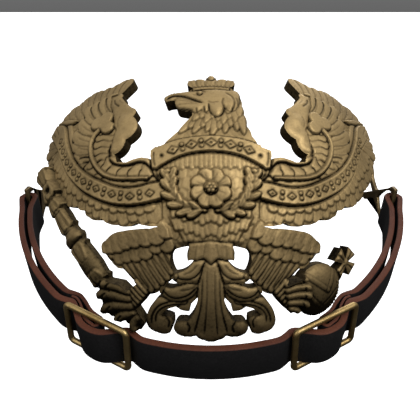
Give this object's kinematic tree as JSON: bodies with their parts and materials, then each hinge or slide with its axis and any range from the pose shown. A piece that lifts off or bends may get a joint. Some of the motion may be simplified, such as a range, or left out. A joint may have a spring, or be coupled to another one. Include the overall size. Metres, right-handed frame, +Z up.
{
  "type": "helmet front plate with chin strap",
  "caption": "Struck brass eagle plate curved to a helmet's front, with a black leather chin strap, brass slides and side hangers.",
  "frame": {"origin": "middle of the plate's back, where it rests on the helmet's front and pins on", "axes": "+X towards the side of the foot that holds the orb, -Y out of the front, +Z up as worn"},
  "size_m": [0.1974, 0.1366, 0.1059],
  "materials": {
    "aged_brass": "struck and toned, dull in the hollows and lightly rubbed on the high places",
    "wire_brass": "smooth, lightly toned",
    "strap_leather": "black grain face with brown-red cut edges"
  },
  "bodies": {
    "root": {"eagle_plate": "aged_brass", "chin_strap": "strap_leather", "buckle_left": "wire_brass", "buckle_right": "wire_brass", "hanger_left": "wire_brass", "hanger_right": "wire_brass"}
  },
  "joints": []
}
